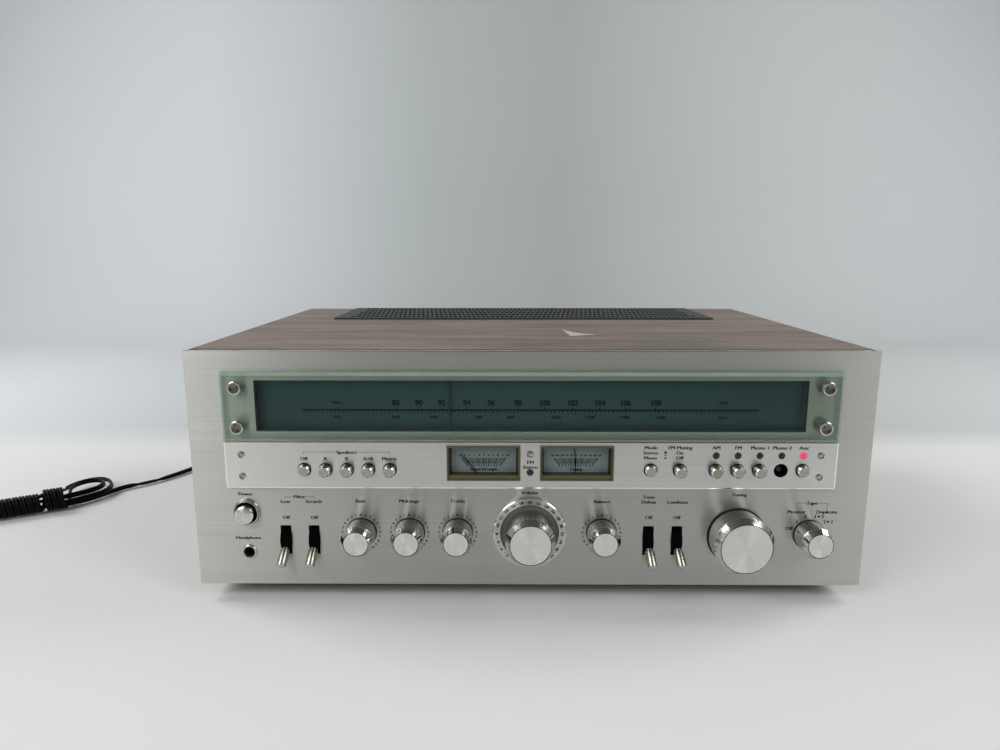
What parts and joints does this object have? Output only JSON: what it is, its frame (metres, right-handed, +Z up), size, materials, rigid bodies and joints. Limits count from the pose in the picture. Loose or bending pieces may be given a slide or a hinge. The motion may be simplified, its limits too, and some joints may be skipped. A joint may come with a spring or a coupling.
{
  "type": "stereo receiver",
  "caption": "Stereo receiver in a wood cabinet with a brushed metal front, glass dial, meters, knobs, push buttons and a mains cord.",
  "frame": {"origin": "centre of the footprint, on the surface that the feet stand on", "axes": "+X to the right seen from the front, +Y to the rear, +Z up; the front panel faces -Y"},
  "size_m": [0.8565, 0.4657, 0.1895],
  "materials": {
    "zinc_plated_steel": "plated",
    "black_painted_steel": "satin",
    "foot_rubber": "matt",
    "walnut_veneer": "oiled",
    "grille_steel": "satin",
    "brushed_aluminium": "brushed",
    "tinted_glass": "polished",
    "chrome_trim": "polished",
    "dial_plate_paint": "matt",
    "black_plastic": "moulded",
    "red_lens": "moulded",
    "switch_metal": "plated",
    "board_laminate": "laminate",
    "transformer_steel": "laminated",
    "black_anodised": "anodised",
    "cord_sheath": "extruded",
    "turned_aluminium": "spun",
    "dark_needle": "painted"
  },
  "bodies": {
    "receiver": {"chassis_tray": "zinc_plated_steel", "rear_panel": "black_painted_steel", "feet": "foot_rubber", "cabinet": "walnut_veneer", "cabinet_screws": "zinc_plated_steel", "top_grille": "grille_steel", "front_panel": "brushed_aluminium", "dial_glass": "tinted_glass", "front_screws": "chrome_trim", "dial_plate": "dial_plate_paint", "control_strip": "brushed_aluminium", "meter_cases": "black_plastic", "front_trim": "chrome_trim", "headphone_jack": "black_plastic", "indicator_lamps": "red_lens", "lever_switches": "switch_metal", "button_switches": "switch_metal", "rotary_controls": "switch_metal", "circuit_boards": "board_laminate", "power_supply": "transformer_steel", "heatsink": "black_anodised", "tuning_capacitor": "switch_metal", "dial_drive": "zinc_plated_steel", "phono_jacks": "chrome_trim", "speaker_terminals": "black_plastic", "mains_outlets": "black_plastic", "antenna_bracket": "black_plastic", "strain_relief": "foot_rubber", "power_cord": "cord_sheath", "cord_hank": "cord_sheath", "mains_plug": "black_plastic"},
    "speaker_button_1_body": {"speaker_button_1": "turned_aluminium"},
    "speaker_button_2_body": {"speaker_button_2": "turned_aluminium"},
    "speaker_button_3_body": {"speaker_button_3": "turned_aluminium"},
    "speaker_button_4_body": {"speaker_button_4": "turned_aluminium"},
    "speaker_button_5_body": {"speaker_button_5": "turned_aluminium"},
    "mode_button_body": {"mode_button": "turned_aluminium"},
    "muting_button_body": {"muting_button": "turned_aluminium"},
    "selector_button_1_body": {"selector_button_1": "turned_aluminium"},
    "selector_button_2_body": {"selector_button_2": "turned_aluminium"},
    "selector_button_3_body": {"selector_button_3": "turned_aluminium"},
    "selector_stem_4_body": {"selector_stem_4": "switch_metal"},
    "selector_button_5_body": {"selector_button_5": "turned_aluminium"},
    "power_button_body": {"power_button": "turned_aluminium"},
    "lever_1_body": {"lever_1": "chrome_trim"},
    "lever_2_body": {"lever_2": "chrome_trim"},
    "lever_3_body": {"lever_3": "chrome_trim"},
    "lever_4_body": {"lever_4": "chrome_trim"},
    "bass_knob_body": {"bass_knob": "turned_aluminium"},
    "midrange_knob_body": {"midrange_knob": "turned_aluminium"},
    "treble_knob_body": {"treble_knob": "turned_aluminium"},
    "volume_knob_body": {"volume_knob": "turned_aluminium"},
    "balance_knob_body": {"balance_knob": "turned_aluminium"},
    "tape_knob_body": {"tape_knob": "turned_aluminium"},
    "tuning_knob_body": {"tuning_knob": "turned_aluminium"},
    "dial_drum_body": {"dial_drum": "black_plastic"},
    "dial_pointer_body": {"dial_pointer": "dark_needle"},
    "signal_needle_body": {"signal_needle": "dark_needle"},
    "tuning_needle_body": {"tuning_needle": "dark_needle"},
    "rod_antenna_body": {"rod_antenna": "black_plastic"}
  },
  "joints": [
    {"name": "speaker_button_1_push", "type": "slide", "parent": "receiver", "child": "speaker_button_1_body", "axis": [0, 1, 0], "range_m": [-0.003, 0.0005]},
    {"name": "speaker_button_2_push", "type": "slide", "parent": "receiver", "child": "speaker_button_2_body", "axis": [0, 1, 0], "range_m": [0, 0.0035]},
    {"name": "speaker_button_3_push", "type": "slide", "parent": "receiver", "child": "speaker_button_3_body", "axis": [0, 1, 0], "range_m": [0, 0.0035]},
    {"name": "speaker_button_4_push", "type": "slide", "parent": "receiver", "child": "speaker_button_4_body", "axis": [0, 1, 0], "range_m": [0, 0.0035]},
    {"name": "speaker_button_5_push", "type": "slide", "parent": "receiver", "child": "speaker_button_5_body", "axis": [0, 1, 0], "range_m": [0, 0.0035]},
    {"name": "mode_button_push", "type": "slide", "parent": "receiver", "child": "mode_button_body", "axis": [0, 1, 0], "range_m": [-0.003, 0.0005]},
    {"name": "muting_button_push", "type": "slide", "parent": "receiver", "child": "muting_button_body", "axis": [0, 1, 0], "range_m": [0, 0.0035]},
    {"name": "selector_button_1_push", "type": "slide", "parent": "receiver", "child": "selector_button_1_body", "axis": [0, 1, 0], "range_m": [0, 0.0035]},
    {"name": "selector_button_2_push", "type": "slide", "parent": "receiver", "child": "selector_button_2_body", "axis": [0, 1, 0], "range_m": [0, 0.0035]},
    {"name": "selector_button_3_push", "type": "slide", "parent": "receiver", "child": "selector_button_3_body", "axis": [0, 1, 0], "range_m": [0, 0.0035]},
    {"name": "selector_stem_4_push", "type": "slide", "parent": "receiver", "child": "selector_stem_4_body", "axis": [0, 1, 0], "range_m": [0, 0.0035]},
    {"name": "selector_button_5_push", "type": "slide", "parent": "receiver", "child": "selector_button_5_body", "axis": [0, 1, 0], "range_m": [-0.003, 0.0005]},
    {"name": "power_button_push", "type": "slide", "parent": "receiver", "child": "power_button_body", "axis": [0, 1, 0], "range_m": [0, 0.0035]},
    {"name": "lever_1_tilt", "type": "hinge", "parent": "receiver", "child": "lever_1_body", "pos_m": [-0.1791, -0.15665, 0.0472], "axis": [1, 0, 0], "range_deg": [-90, 0]},
    {"name": "lever_2_tilt", "type": "hinge", "parent": "receiver", "child": "lever_2_body", "pos_m": [-0.1583, -0.15665, 0.0472], "axis": [1, 0, 0], "range_deg": [-90, 0]},
    {"name": "lever_3_tilt", "type": "hinge", "parent": "receiver", "child": "lever_3_body", "pos_m": [0.0871, -0.15665, 0.0472], "axis": [1, 0, 0], "range_deg": [-90, 0]},
    {"name": "lever_4_tilt", "type": "hinge", "parent": "receiver", "child": "lever_4_body", "pos_m": [0.108, -0.15665, 0.0472], "axis": [1, 0, 0], "range_deg": [-90, 0]},
    {"name": "bass_knob_turn", "type": "hinge", "parent": "receiver", "child": "bass_knob_body", "pos_m": [-0.1236, -0.16965, 0.0529], "axis": [0, 1, 0], "range_deg": [-52, 188]},
    {"name": "midrange_knob_turn", "type": "hinge", "parent": "receiver", "child": "midrange_knob_body", "pos_m": [-0.0881, -0.16965, 0.0529], "axis": [0, 1, 0], "range_deg": [-185, 55]},
    {"name": "treble_knob_turn", "type": "hinge", "parent": "receiver", "child": "treble_knob_body", "pos_m": [-0.0528, -0.16965, 0.0529], "axis": [0, 1, 0], "range_deg": [-109, 131]},
    {"name": "volume_knob_turn", "type": "hinge", "parent": "receiver", "child": "volume_knob_body", "pos_m": [0, -0.16965, 0.0535], "axis": [0, 1, 0], "range_deg": [-81, 223]},
    {"name": "balance_knob_turn", "type": "hinge", "parent": "receiver", "child": "balance_knob_body", "pos_m": [0.0528, -0.16965, 0.0529], "axis": [0, 1, 0], "range_deg": [-42, 198]},
    {"name": "tape_knob_turn", "type": "hinge", "parent": "receiver", "child": "tape_knob_body", "pos_m": [0.2043, -0.16965, 0.0523], "axis": [0, 1, 0], "range_deg": [0, 120]},
    {"name": "tuning_knob_turn", "type": "hinge", "parent": "receiver", "child": "tuning_knob_body", "pos_m": [0.1518, -0.16965, 0.0508], "axis": [0, 1, 0], "range_deg": [-787, 1617]},
    {"name": "dial_drum_turn", "type": "hinge", "parent": "receiver", "child": "dial_drum_body", "pos_m": [0.03, -0.13365, 0.1], "axis": [0, 1, 0], "range_deg": [-191, 392.2]},
    {"name": "dial_pointer_slide", "type": "slide", "parent": "receiver", "child": "dial_pointer_body", "axis": [1, 0, 0], "range_m": [-0.1101, 0.2261]},
    {"name": "signal_needle_swing", "type": "hinge", "parent": "receiver", "child": "signal_needle_body", "pos_m": [-0.0334, -0.15975, 0.0921], "axis": [0, 1, 0], "range_deg": [0, 78]},
    {"name": "tuning_needle_swing", "type": "hinge", "parent": "receiver", "child": "tuning_needle_body", "pos_m": [0.0334, -0.15975, 0.0921], "axis": [0, 1, 0], "range_deg": [-36, 42]},
    {"name": "rod_antenna_swing", "type": "hinge", "parent": "receiver", "child": "rod_antenna_body", "pos_m": [-0.06, 0.18115, 0.14], "axis": [0, 0, 1], "range_deg": [0, 100]}
  ],
  "couplings": [
    {"joint": "dial_pointer_slide", "follows": "tuning_knob_turn", "m_per_rad": 0.008},
    {"joint": "dial_drum_turn", "follows": "tuning_knob_turn", "ratio": 0.2424}
  ]
}
